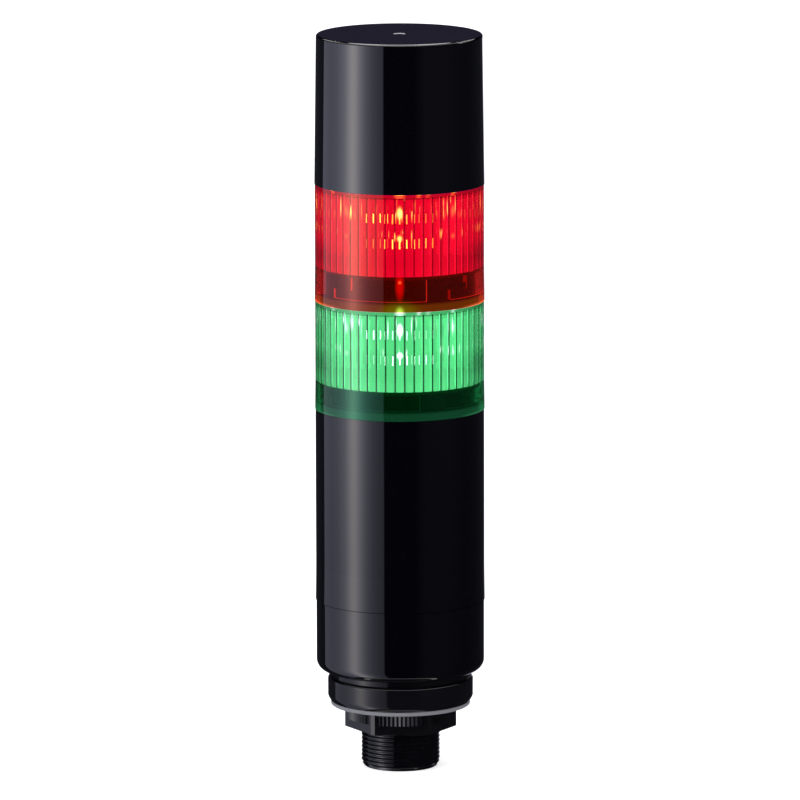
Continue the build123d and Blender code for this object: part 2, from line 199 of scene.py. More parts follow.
def gloss_black_abs(colours):
    """Polished, injection moulded ABS: near black, mirror-like, its reflections a little unsteady."""
    material, tree = new_material("Gloss black moulded ABS")
    place = add_node(tree, "ShaderNodeTexCoord").outputs["Object"]
    # the wall sinks and swells over about 25 mm by a few microns
    swell = add_node(tree, "ShaderNodeTexNoise", None, Vector=place, Scale=40.0, Detail=1.0)
    bump = add_node(tree, "ShaderNodeBump", None, Strength=0.25, Distance=0.00001, Height=swell)
    shader = add_node(tree, "ShaderNodeBsdfPrincipled", None, Base_Color=tuple(colours.black), Roughness=0.045,
                      IOR=1.5, Normal=bump)
    add_node(tree, "ShaderNodeOutputMaterial", None, shader)
    return material


def satin_black_abs():
    """Fine-textured, injection moulded ABS: black with a broad dull sheen."""
    material, tree = new_material("Satin black moulded ABS")
    place = add_node(tree, "ShaderNodeTexCoord").outputs["Object"]
    # spark texture, grains of about 0.25 mm
    grain = add_node(tree, "ShaderNodeTexNoise", None, Vector=place, Scale=4000.0, Detail=2.0)
    bump = add_node(tree, "ShaderNodeBump", None, Strength=0.15, Distance=0.00002, Height=grain)
    shader = add_node(tree, "ShaderNodeBsdfPrincipled", None, Base_Color=linear("#121216"), Roughness=0.34,
                      IOR=1.5, Normal=bump)
    add_node(tree, "ShaderNodeOutputMaterial", None, shader)
    return material


def glass_filled_nylon(name, roughness, ior=1.53):
    """Moulded glass-filled nylon of the stem and nut: black, semi-gloss, sharp edges that catch the light."""
    material, tree = new_material(name)
    place = add_node(tree, "ShaderNodeTexCoord").outputs["Object"]
    # flow marks of about 1 mm
    flow = add_node(tree, "ShaderNodeTexNoise", None, Vector=place, Scale=1000.0, Detail=2.0)
    bump = add_node(tree, "ShaderNodeBump", None, Strength=0.05, Distance=0.00002, Height=flow)
    shader = add_node(tree, "ShaderNodeBsdfPrincipled", None, Base_Color=linear("#0c0c10"), Roughness=roughness,
                      IOR=ior, Normal=bump)
    add_node(tree, "ShaderNodeOutputMaterial", None, shader)
    return material


def round_axis(tree):
    """Sockets of the azimuth from the front, in radians, and of the height, in metres."""
    place = add_node(tree, "ShaderNodeTexCoord").outputs["Object"]
    x, y, z = add_node(tree, "ShaderNodeSeparateXYZ", None, place).outputs
    forward = add_node(tree, "ShaderNodeMath", {"operation": "MULTIPLY"}, y, -1.0)
    return add_node(tree, "ShaderNodeMath", {"operation": "ARCTAN2"}, x, forward), z


def flutes_of(tree, angle, count):
    """Sockets of the turn counted in flutes, of the flute's number, and of the place across it, 0 to 0.5."""
    turned = add_node(tree, "ShaderNodeMath", {"operation": "MULTIPLY"}, angle, count / (2 * pi))
    flute = add_node(tree, "ShaderNodeMath", {"operation": "ROUND"}, turned)
    across = add_node(tree, "ShaderNodeMath", {"operation": "SUBTRACT"}, turned, flute)
    return turned, flute, add_node(tree, "ShaderNodeMath", {"operation": "ABSOLUTE"}, across)


def spot(tree, angle, height, at, spread, reach, power=1.0):
    """A soft spot, 1 in its middle: its azimuth is where angle is 0, its height and sizes are in metres."""
    aside = add_node(tree, "ShaderNodeMath", {"operation": "DIVIDE"}, angle, spread / (LENS_RADIUS * MM))
    offset = add_node(tree, "ShaderNodeMath", {"operation": "SUBTRACT"}, height, at)
    along = add_node(tree, "ShaderNodeMath", {"operation": "DIVIDE"}, offset, reach)
    place = add_node(tree, "ShaderNodeCombineXYZ", None, aside, along)
    distance = add_node(tree, "ShaderNodeVectorMath", {"operation": "LENGTH"}, place).outputs["Value"]
    fall = add_node(tree, "ShaderNodeMapRange", {"interpolation_type": "SMOOTHERSTEP"}, Value=distance,
                    To_Min=1.0, To_Max=0.0)
    return add_node(tree, "ShaderNodeMath", {"operation": "POWER"}, fall, power)


def lit(tree, *parts):
    """Sum of glows, each a colour and the socket or number that scales it."""
    total = None
    for colour, share in parts:
        glow = add_node(tree, "ShaderNodeVectorMath", {"operation": "SCALE"}, Vector(colour[:3]), Scale=share)
        total = add_node(tree, "ShaderNodeVectorMath", None, total, glow) if total else glow
    return total


def clear_polycarbonate(name, node, tint, slant_share, mirror_tint):
    """Transparent coloured polycarbonate: polished skin, deeper in colour where the wall is seen at a slant."""
    material, tree = new_material(name)
    slant = add_node(tree, "ShaderNodeLayerWeight", None, 0.5).outputs["Facing"]
    # less light reaches the wall in a band below the LEDs, 18 mm above the lens's foot
    height = round_axis(tree)[1]
    band = spot(tree, 0.0, height, (millimetres(node)[0].z + 18.0) * MM, 1.0, 8.0 * MM)
    deepest = add_node(tree, "ShaderNodeMapRange", None, Value=band, To_Min=slant_share,
                       To_Max=slant_share * 0.35)
    faced = add_node(tree, "ShaderNodeMapRange", None, Value=band, To_Min=1.0, To_Max=0.86)
    depth = add_node(tree, "ShaderNodeMapRange", None, Value=slant, From_Min=0.06, From_Max=0.55, To_Min=faced,
                     To_Max=deepest)
    deep = add_node(tree, "ShaderNodeVectorMath", {"operation": "SCALE"}, Vector(tint[:3]), Scale=depth)
    # an index below the real 1.58, which dims the skin's mirror to the photo's
    shader = add_node(tree, "ShaderNodeBsdfPrincipled", None, Base_Color=deep, Roughness=0.02, IOR=1.42,
                      Specular_Tint=mirror_tint, Transmission_Weight=1.0)
    add_node(tree, "ShaderNodeOutputMaterial", None, shader)
    material.cycles.emission_sampling = "NONE"
    return material


def lit_collar(name, node, tint, mirror_tint, glow, seam, edge_glow, front):
    """Transparent collar of a lit lens, with the light that creeps down its wall and up from the seam below."""
    low = millimetres(node)[0]
    material, tree = new_material(name)
    angle, height = round_axis(tree)
    creep = add_node(tree, "ShaderNodeMapRange", {"interpolation_type": "SMOOTHSTEP"}, Value=height,
                     From_Min=(low.z + 2.0) * MM, From_Max=(low.z + 3.4) * MM, To_Min=1.0, To_Max=0.0)
    # painted highlight: the foot's edge shines at the sides, fading in from 40 to 63 degrees round from the front
    turned = add_node(tree, "ShaderNodeMath", {"operation": "ABSOLUTE"}, angle)
    side = add_node(tree, "ShaderNodeMapRange", {"interpolation_type": "SMOOTHSTEP"}, Value=turned, From_Min=0.7,
                    From_Max=1.1)
    foot = add_node(tree, "ShaderNodeMapRange", None, Value=height, From_Min=low.z * MM,
                    From_Max=(low.z + 0.8) * MM, To_Min=1.0, To_Max=0.0)
    edge = add_node(tree, "ShaderNodeMath", {"operation": "MULTIPLY"}, side, foot)
    parts = [(glow, 1.0), (seam, creep), (edge_glow, edge)]
    if front:
        # painted light: over the front LED an upright glow stands in the collar with a bright dot in it, and a
        # glint with a halo sits on the seam
        light_post = spot(tree, angle, height, (low.z + 9.3) * MM, 1.9 * MM, 6.5 * MM, 0.5)
        light_bead = spot(tree, angle, height, (low.z + 10.6) * MM, 0.9 * MM, 0.9 * MM)
        light_star = spot(tree, angle, height, low.z * MM, 2.4 * MM, 3.4 * MM, 1.5)
        halo = spot(tree, angle, height, low.z * MM, 11.0 * MM, 6.0 * MM, 1.5)
        parts += [((0.42, 0.0, 0.0), light_post), ((1.0, 0.1, 0.02), light_bead), ((0.3, 0.7, 0.06), light_star),
                  ((0.012, 0.09, 0.001), halo)]
    shader = add_node(tree, "ShaderNodeBsdfPrincipled", None, Base_Color=tint, Roughness=0.02, IOR=1.6,
                      Specular_Tint=mirror_tint, Transmission_Weight=1.0, Emission_Color=lit(tree, *parts),
                      Emission_Strength=1.0)
    add_node(tree, "ShaderNodeOutputMaterial", None, shader)
    material.cycles.emission_sampling = "NONE"
    return material


def lit_flutes(name, node, sizes, light, level, streak_light, spot_light, glint_share, ridge_shade):
    """Fluted inner face of a lit lens: clear, with a painted glow, painted shade on its ridges and painted pale
    streaks.

    Each flute is a small lens, so the LEDs behind it show through as thin glints; brighter spots round them are
    painted.
    """
    material, tree = new_material(name)
    angle, height = round_axis(tree)
    top = millimetres(node)[1].z

    # painted shade: dark ridges between the flutes and a dark band at their top, under the rim; each flute also a
    # little brighter or darker
    turned, flute, aside = flutes_of(tree, angle, sizes.flutes)
    painted_flute_shade = add_node(tree, "ShaderNodeMapRange", {"interpolation_type": "SMOOTHSTEP"}, Value=aside,
                     From_Min=0.36, From_Max=0.45, To_Min=1.0, To_Max=ridge_shade)
    painted_lip_shade = add_node(tree, "ShaderNodeMapRange", {"interpolation_type": "SMOOTHSTEP"}, Value=height,
                   From_Min=(top - 1.9) * MM, From_Max=(top - 1.4) * MM, To_Min=1.0, To_Max=0.45)
    painted_flute_shade = add_node(tree, "ShaderNodeMath", {"operation": "MULTIPLY"}, painted_flute_shade, painted_lip_shade)
    chance = add_node(tree, "ShaderNodeTexWhiteNoise", {"noise_dimensions": "1D"}, W=flute)
    varied = add_node(tree, "ShaderNodeMapRange", None, Value=chance, To_Min=0.9 * level, To_Max=level)
    glow = add_node(tree, "ShaderNodeMath", {"operation": "MULTIPLY"}, painted_flute_shade, varied)

    # painted highlights: pale streaks a fifth of a flute wide, about 15 mm long
    streak_across = add_node(tree, "ShaderNodeMath", {"operation": "MULTIPLY"}, turned, 4.5)
    streak_along = add_node(tree, "ShaderNodeMath", {"operation": "MULTIPLY"}, height, 65.0)
    streak_place = add_node(tree, "ShaderNodeCombineXYZ", None, streak_across, streak_along)
    streaks = add_node(tree, "ShaderNodeTexNoise", {"noise_dimensions": "2D"}, Vector=streak_place, Scale=1.0,
                       Detail=1.0)
    streak = add_node(tree, "ShaderNodeMapRange", {"interpolation_type": "SMOOTHSTEP"}, Value=streaks,
                      From_Min=0.54, From_Max=0.66)
    thin_streak = add_node(tree, "ShaderNodeMapRange", {"interpolation_type": "SMOOTHSTEP"}, Value=streaks,
                           From_Min=0.65, From_Max=0.7)

    # painted glints: a spot and thin streaks round each LED column; one column faces each sixth flute, and the
    # front one is painted brightest
    columns = add_node(tree, "ShaderNodeMath", {"operation": "MULTIPLY"}, angle, sizes.led_columns / (2 * pi))
    column = add_node(tree, "ShaderNodeMath", {"operation": "ROUND"}, columns)
    offset = add_node(tree, "ShaderNodeMath", {"operation": "SUBTRACT"}, columns, column)
    near = add_node(tree, "ShaderNodeMath", {"operation": "MULTIPLY"}, offset, 2 * pi / sizes.led_columns)
    order = add_node(tree, "ShaderNodeMath", {"operation": "ABSOLUTE"}, column)
    power = add_node(tree, "ShaderNodeMapRange", None, Value=order, To_Min=1.0, To_Max=0.08)
    shares = [(light, glow), (streak_light, streak)]
    spot_width = 1.7
    for drop, length, share in ((6.4, 3.8, 1.0), (15.4, 2.0, 0.7)):
        hot = spot(tree, near, height, (top - drop) * MM, spot_width * MM, length * MM, 2.0)
        faint = spot(tree, near, height, (top - drop + 1.0) * MM, spot_width * 6 * MM, length * 1.4 * MM)
        glints = add_node(tree, "ShaderNodeMath", {"operation": "MULTIPLY"}, faint, thin_streak)
        glints = add_node(tree, "ShaderNodeMath", {"operation": "MULTIPLY"}, glints, glint_share)
        part = add_node(tree, "ShaderNodeMath", {"operation": "MULTIPLY_ADD"}, hot, power, glints)
        shares.append((Vector(spot_light) * share, part))
    body = lit(tree, *shares)
    clear = add_node(tree, "ShaderNodeVectorMath", {"operation": "SCALE"}, Vector((0.1, 0.1, 0.1)), Scale=painted_flute_shade)
    # the flutes waver a little, which breaks the LEDs' images up
    place = add_node(tree, "ShaderNodeTexCoord").outputs["Object"]
    waver = add_node(tree, "ShaderNodeTexNoise", None, Vector=place, Scale=450.0, Detail=1.0)
    bump = add_node(tree, "ShaderNodeBump", None, Strength=1.0, Distance=0.00012, Height=waver)
    # an index below the real 1.58 keeps the flutes' flanks from mirroring the room as pale lines
    shader = add_node(tree, "ShaderNodeBsdfPrincipled", None, Base_Color=clear, Roughness=0.02, IOR=1.25,
                      Normal=bump, Transmission_Weight=1.0, Emission_Color=body, Emission_Strength=1.0)
    add_node(tree, "ShaderNodeOutputMaterial", None, shader)
    material.cycles.emission_sampling = "NONE"
    return material


def glowing_edge(name, light, strength, sparkle_light=None, sizes=None):
    """Cut edges of a lit lens, where the light inside its wall comes out. A rim sparkles over its flutes."""
    material, tree = new_material(name)
    parts = [(light, strength)]
    if sizes:
        angle = round_axis(tree)[0]
        turned, flute, aside = flutes_of(tree, angle, sizes.flutes)
        middle = add_node(tree, "ShaderNodeMapRange", None, Value=aside, From_Max=0.35, To_Min=1.0, To_Max=0.0)
        # three flutes in ten sparkle, and so does the middle of the front
        chance = add_node(tree, "ShaderNodeTexWhiteNoise", {"noise_dimensions": "1D"}, W=flute)
        chosen = add_node(tree, "ShaderNodeMapRange", None, Value=chance, From_Min=0.7, From_Max=1.0)
        sparkle = add_node(tree, "ShaderNodeMath", {"operation": "MULTIPLY"}, middle, chosen)
        front = spot(tree, angle, 0.0, 0.0, 2.6 * MM, 1.0)
        parts += [(sparkle_light, sparkle), (sparkle_light, front)]
    shader = add_node(tree, "ShaderNodeBsdfPrincipled", None, Base_Color=(0.02, 0.02, 0.02, 1.0), Roughness=0.3,
                      IOR=1.3, Emission_Color=lit(tree, *parts), Emission_Strength=1.0)
    add_node(tree, "ShaderNodeOutputMaterial", None, shader)
    material.cycles.emission_sampling = "NONE"
    return material


def plain_finish(name, colour, roughness, ior=1.5, metallic=0.0, glow=0.0):
    """A plain finish: one colour, one gloss."""
    material, tree = new_material(name)
    shader = add_node(tree, "ShaderNodeBsdfPrincipled", None, Base_Color=colour, Roughness=roughness,
                      Metallic=metallic, IOR=ior, Emission_Color=colour, Emission_Strength=glow)
    add_node(tree, "ShaderNodeOutputMaterial", None, shader)
    material.cycles.emission_sampling = "NONE"
    return material


def lit_reflector(name, light, level, top):
    """Plastic inside a tier, lit by its LEDs. Above the tier's top it is the same plastic, unlit and black."""
    material, tree = new_material(name)
    share = add_node(tree, "ShaderNodeMapRange", None, Value=round_axis(tree)[1], From_Min=(top - 0.4) * MM,
                     From_Max=(top - 0.1) * MM, To_Min=level, To_Max=0.0)
    glow = add_node(tree, "ShaderNodeVectorMath", {"operation": "SCALE"}, light[:3], Scale=share)
    shader = add_node(tree, "ShaderNodeBsdfPrincipled", None, Base_Color=linear("#0c0c10"), Roughness=0.3,
                      Emission_Color=glow, Emission_Strength=1.0)
    add_node(tree, "ShaderNodeOutputMaterial", None, shader)
    material.cycles.emission_sampling = "NONE"
    return material


def gasket_rubber(colours):
    """Die-cut foam rubber: grey, matt, with fine open pores."""
    material, tree = new_material("Grey cellular rubber")
    place = add_node(tree, "ShaderNodeTexCoord").outputs["Object"]
    # pores of about 0.3 mm
    pores = add_node(tree, "ShaderNodeTexNoise", None, Vector=place, Scale=3300.0, Detail=2.0)
    bump = add_node(tree, "ShaderNodeBump", None, Strength=0.3, Distance=0.00005, Height=pores)
    shader = add_node(tree, "ShaderNodeBsdfPrincipled", None, Base_Color=tuple(colours.rubber), Roughness=0.75,
                      IOR=1.5, Normal=bump)
    add_node(tree, "ShaderNodeOutputMaterial", None, shader)
    return material


# The studio

STRIP_CENTRE = -65.5        # azimuth of the tall softbox, in degrees
STRIP_SPREAD = 12.5
STRIP_EDGES = (-126.0, -22.0)


def tent_material():
    """The light tent's wall: a tall softbox at the left, a faint reflector at the right, dark cloth elsewhere."""
    material, tree = new_material("Light tent cloth")
    angle, height = round_axis(tree)
    share = add_node(tree, "ShaderNodeMapRange", None, Value=angle, From_Min=-pi, From_Max=pi)
    ramp = add_node(tree, "ShaderNodeValToRGB", None, share)
    peak = 5.5
    # azimuth, level, and how warm the light is there
    stops = [(-180.0, 0.03, 0.0), (STRIP_EDGES[0] - 0.5, 0.04, 0.0)]
    for azimuth in (-126, -106, -94, -86, -80, -75, -71, -68, -65.5, -63, -60, -56, -51, -45, -37, -30, -22):
        core = 1 / (1 + ((azimuth - STRIP_CENTRE) / STRIP_SPREAD) ** 2)
        stops.append((azimuth, 0.25 + 5.1 * core + (0.22 if azimuth < -84 else 0.0), core))
    stops += [(STRIP_EDGES[1] + 0.5, 0.01, 0.0), (20.0, 0.01, 0.0), (34.0, 0.065, 0.0), (64.0, 0.065, 0.0),
              (100.0, 0.03, 0.0), (164.0, 0.03, 0.0), (165.0, 1.2, 0.5), (174.0, 1.2, 0.5), (175.0, 0.02, 0.0)]
    elements = ramp.color_ramp.elements
    while len(elements) < len(stops):
        elements.new(1.0)
    cool, warm = Vector((0.97, 1.0, 1.3)), Vector((1.0, 0.95, 0.98))
    for element, (azimuth, level, core) in zip(elements, stops):
        element.position = (azimuth + 180) / 360
        element.color = (*(cool.lerp(warm, core) * level / peak), 1.0)
    # the softbox is brighter towards its top, and ends there sharply
    level = add_node(tree, "ShaderNodeMapRange", None, Value=height, From_Min=-0.145, From_Max=0.05,
                     To_Min=0.66 * peak, To_Max=peak)
    bound = add_node(tree, "ShaderNodeMapRange", None, Value=height, From_Min=0.24, From_Max=0.25, To_Min=1.0,
                     To_Max=0.02)
    level = add_node(tree, "ShaderNodeMath", {"operation": "MULTIPLY"}, level, bound)
    light = add_node(tree, "ShaderNodeEmission", None, ramp, level)
    add_node(tree, "ShaderNodeOutputMaterial", None, light)
    material.cycles.emission_sampling = "NONE"
    return material


def cloth_of(name, level, colour=(1.0, 1.0, 1.0, 1.0)):
    """A lit or dark cloth of one even brightness."""
    material, tree = new_material(name)
    light = add_node(tree, "ShaderNodeEmission", None, colour, level)
    add_node(tree, "ShaderNodeOutputMaterial", None, light)
    material.cycles.emission_sampling = "NONE"
    return material


def stage_piece(mesh_data, name, material, reflections_only):
    """A piece of the studio."""
    mesh = bpy.data.meshes.new(name)
    mesh_data.to_mesh(mesh)
    mesh_data.free()
    obj = bpy.data.objects.new(name, mesh)
    bpy.context.scene.collection.objects.link(obj)
    obj.data.materials.append(material)
    if reflections_only:
        for kind in ("camera", "diffuse", "transmission", "volume_scatter", "shadow"):
            setattr(obj, "visible_" + kind, False)
    return obj


class STACKLIGHT_OT_studio(bpy.types.Operator):
    """Floor, light tent, lamps, world and camera"""

    bl_idname = "stacklight.studio"
    bl_label = "Studio"

    def execute(self, context):
        scene = context.scene
        floor_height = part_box("mounting_stem")[0].z

        floor, tree = new_material("Pale studio floor")
        # lifts the floor to white and leaves a soft shadow
        lift = add_node(tree, "ShaderNodeMath", {"operation": "MULTIPLY"}, room_seen(tree), 0.55)
        shader = add_node(tree, "ShaderNodeBsdfPrincipled", None, Base_Color=linear("#f7f7f8"), Roughness=0.9,
                          Emission_Color=(1.0, 1.0, 1.0, 1.0), Emission_Strength=lift)
        add_node(tree, "ShaderNodeOutputMaterial", None, shader)
        floor.cycles.emission_sampling = "NONE"
        plane = bmesh.new()
        bmesh.ops.create_grid(plane, x_segments=1, y_segments=1, size=30.0)
        bmesh.ops.translate(plane, vec=(0, 0, floor_height), verts=plane.verts)
        stage_piece(plane, "studio_floor", floor, False).visible_glossy = False

        wall = bmesh.new()
        bmesh.ops.create_cone(wall, cap_ends=False, segments=180, radius1=1.0, radius2=1.0, depth=3.0)
        stage_piece(wall, "studio_tent", tent_material(), True)
        for name, radius, height, level in (("studio_pit", 1.0, -1.5, 0.03), ("studio_roof", 1.0, 1.5, 0.05)):
            cloth = bmesh.new()
            bmesh.ops.create_circle(cloth, cap_ends=True, segments=64, radius=radius)
            bmesh.ops.translate(cloth, vec=(0, 0, height), verts=cloth.verts)
            stage_piece(cloth, name, cloth_of(name.replace("_", " "), level), True)
        # rings above and below and a band draw thin arcs on the round edges, and a card behind tints the cap's top
        for name, radii, height, depth, reach, level in (("studio_top_ring", (0.3, 0.95), 1.45, 0.0, 180, 8.5),
                                                         ("studio_pit_ring", (0.6, 0.72), -1.45, 0.0, 130, 1.7),
                                                         ("studio_band", (0.98, 0.98), 0.8, 0.4, 145, 3.0)):
            cloth = bmesh.new()
            bmesh.ops.create_cone(cloth, cap_ends=False, segments=120, radius1=radii[0], radius2=radii[1],
                                  depth=depth)
            behind = [face for face in cloth.faces
                      if abs(degrees(atan2(face.calc_center_median().x, -face.calc_center_median().y))) > reach]
            bmesh.ops.delete(cloth, geom=behind, context="FACES")
            bmesh.ops.translate(cloth, vec=(0, 0, height), verts=cloth.verts)
            stage_piece(cloth, name, cloth_of(name.replace("_", " "), level), True)
        card = bmesh.new()
        bmesh.ops.create_grid(card, x_segments=1, y_segments=1, size=0.3)
        bmesh.ops.rotate(card, cent=(0, 0, 0), matrix=Matrix.Rotation(radians(90), 3, "X"), verts=card.verts)
        bmesh.ops.translate(card, vec=(0, 0.9, 0.42), verts=card.verts)
        stage_piece(card, "studio_back_card", cloth_of("studio back card", 0.04, (0.8, 0.7, 1.3, 1.0)), True)

        for name, place, size, power in (("key", (-0.9, -1.1, 1.3), 0.9, 9.0), ("top", (0.3, 0.2, 1.8), 1.2, 6.0)):
            lamp = bpy.data.lights.new("studio_" + name, "AREA")
            lamp.energy = power
            lamp.size = size
            obj = bpy.data.objects.new("studio_" + name, lamp)
            obj.location = place
            obj.rotation_euler = (Vector((0, 0, 0.1)) - Vector(place)).to_track_quat("-Z", "Y").to_euler()
            obj.visible_glossy = False
            scene.collection.objects.link(obj)

        world = bpy.data.worlds.new("studio_world")
        world.use_nodes = True
        tree = world.node_tree
        tree.nodes.clear()
        level = add_node(tree, "ShaderNodeMapRange", None, Value=room_seen(tree), To_Min=0.8, To_Max=1.0)
        sky = add_node(tree, "ShaderNodeBackground", None, (1.0, 1.0, 1.0, 1.0), level)
        add_node(tree, "ShaderNodeOutputWorld", None, sky)
        scene.world = world

        # a long lens, since the photo's upright edges are nearly parallel
        camera = bpy.data.cameras.new("studio_camera")
        camera.lens = 408.0
        camera.sensor_width = 36.0
        camera.clip_end = 100.0
        obj = bpy.data.objects.new("studio_camera", camera)
        obj.location = (0.0, -3.17, 0.6604)
        aim = (Vector((0, 0, 0.1096)) - obj.location).to_track_quat("-Z", "Y")
        obj.rotation_euler = (aim @ Quaternion((0, 0, 1), radians(-0.12))).to_euler()
        scene.collection.objects.link(obj)
        scene.camera = obj
        scene.view_settings.view_transform = "Standard"
        return {"FINISHED"}


class STACKLIGHT_OT_shells(bpy.types.Operator):
    """Gloss black on the cap, the body tube and the base cup"""

    bl_idname = "stacklight.shells"
    bl_label = "Shells"

    def execute(self, context):
        gloss = gloss_black_abs(context.scene.stack_light_colours)
        for node in ("top_cap", "body_tube", "base_cup"):
            paint(node, gloss)
        # painted highlight: a pale ring round the gate mark in the cap's top stands in for the light that the mark
        # catches
        top = millimetres("top_cap")[1].z
        mark = bmesh.new()
        outline = [(2.02, top - 0.26), (2.12, top - 0.26), (2.12, top - 0.04), (2.02, top - 0.12)]
        spin_outline(mark, outline, steps=48)
        dress(finish_mesh(mark, "gate_painted_highlight"), "cap", "gloss_black_plastic",
              plain_finish("Pale ABS, painted gate highlight", linear("#d6d6de"), 0.4))
        # painted shade: a matt black ring in the gap between body and cup stands in for the gap's shadow
        foot = millimetres("body_tube")[0].z
        ring = bmesh.new()
        spin_outline(ring, [(29.95, foot - 0.2), (30.05, foot - 0.2), (30.05, foot), (29.95, foot)])
        dress(finish_mesh(ring, "painted_gap_shade"), "body", "gloss_black_plastic",
              plain_finish("Matt black, painted gap shade", linear("#020203"), 1.0, 1.1))
        return {"FINISHED"}


def lens_piece(name, node, body, materials):
    """A copy of a CAD lens whose faces have materials of their own: skin, flutes, rim, pad edges, collar."""
    high = millimetres(node)[1]
    rim = high.z - 1.15
    skin_radius = 29.3
    flute_radius = 28.3
    skin, flutes, rim_edge, pad_edge, collar = range(5)
    source = bmesh.new()
    source.from_mesh(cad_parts[node].data)
    bmesh.ops.scale(source, vec=Vector((1 / MM, 1 / MM, 1 / MM)), verts=source.verts)
    bmesh.ops.remove_doubles(source, verts=source.verts, dist=0.001)
    flute_foot = min(vert.co.z for vert in source.verts if 27.85 < hypot(vert.co.x, vert.co.y) < 27.95)
    for face in source.faces:
        middle = face.calc_center_median()
        radius = hypot(middle.x, middle.y)
        outward = (face.normal.x * middle.x + face.normal.y * middle.y) / radius
        if radius > skin_radius and outward > 0.5 or middle.z < flute_foot and radius > flute_radius:
            face.material_index = collar if middle.z < flute_foot else skin
        elif middle.z > rim - 0.1:
            face.material_index = rim_edge
        elif outward < -0.5 and middle.z > flute_foot:
            face.material_index = flutes
        elif radius < flute_radius and outward > -0.5 and face.normal.z < 0.5:
            face.material_index = pad_edge
        else:
            face.material_index = collar
    piece = finish_mesh(source, name)
    dress(piece, body, node, *materials)
    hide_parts(node)
    return piece


class STACKLIGHT_OT_lenses(bpy.types.Operator):
    """The red and the green lens, lit from inside"""

    bl_idname = "stacklight.lenses"
    bl_label = "Lenses"

    def execute(self, context):
        colours = context.scene.stack_light_colours
        sizes = context.scene.stack_light_sizes
        red = (clear_polycarbonate("Red clear polycarbonate", "red_lens", tuple(colours.red_plastic), 0.32,
                                   (1.0, 0.85, 0.55, 1.0)),
               lit_flutes("Red lit flutes", "red_lens", sizes, tuple(colours.red_light), 0.9, (0.03, 0.005, 0.005),
                          (6.0, 16.0, 2.0), 0.6, 0.3),
               glowing_edge("Red glowing rim", tuple(colours.red_light), 0.6, (1.5, 1.0, 0.1), sizes),
               glowing_edge("Red glowing pad edge", linear("#ff5a30"), 1.6),
               lit_collar("Red clear polycarbonate, collar", "red_lens", linear("#6c0a08"), (1.0, 0.33, 0.28, 1.0),
                          (0.02, 0.001, 0.0), (0.06, 0.02, 0.0), (0.45, 0.12, 0.03), True))
        green = (clear_polycarbonate("Green clear polycarbonate", "green_lens", tuple(colours.green_plastic), 0.16,
                                     (0.8, 1.0, 0.9, 1.0)),
                 lit_flutes("Green lit flutes", "green_lens", sizes, tuple(colours.green_light), 0.8,
                            (0.12, 0.04, 0.06), (24.0, 6.0, 12.0), 0.25, 0.06),
                 glowing_edge("Green glowing rim", tuple(colours.green_light), 0.5, (3.0, 0.8, 1.6), sizes),
                 glowing_edge("Green glowing pad edge", linear("#3c8c60"), 0.5),
                 lit_collar("Green clear polycarbonate, collar", "green_lens", linear("#05401e"),
                            (0.3, 0.9, 0.6, 1.0), (0.0, 0.005, 0.001), (0.004, 0.03, 0.014),
                            (0.02, 0.08, 0.04), False))
        lens_piece("red_lit_lens", "red_lens", "red_tier", red)
        lens_piece("green_lit_lens", "green_lens", "green_tier", green)
        return {"FINISHED"}


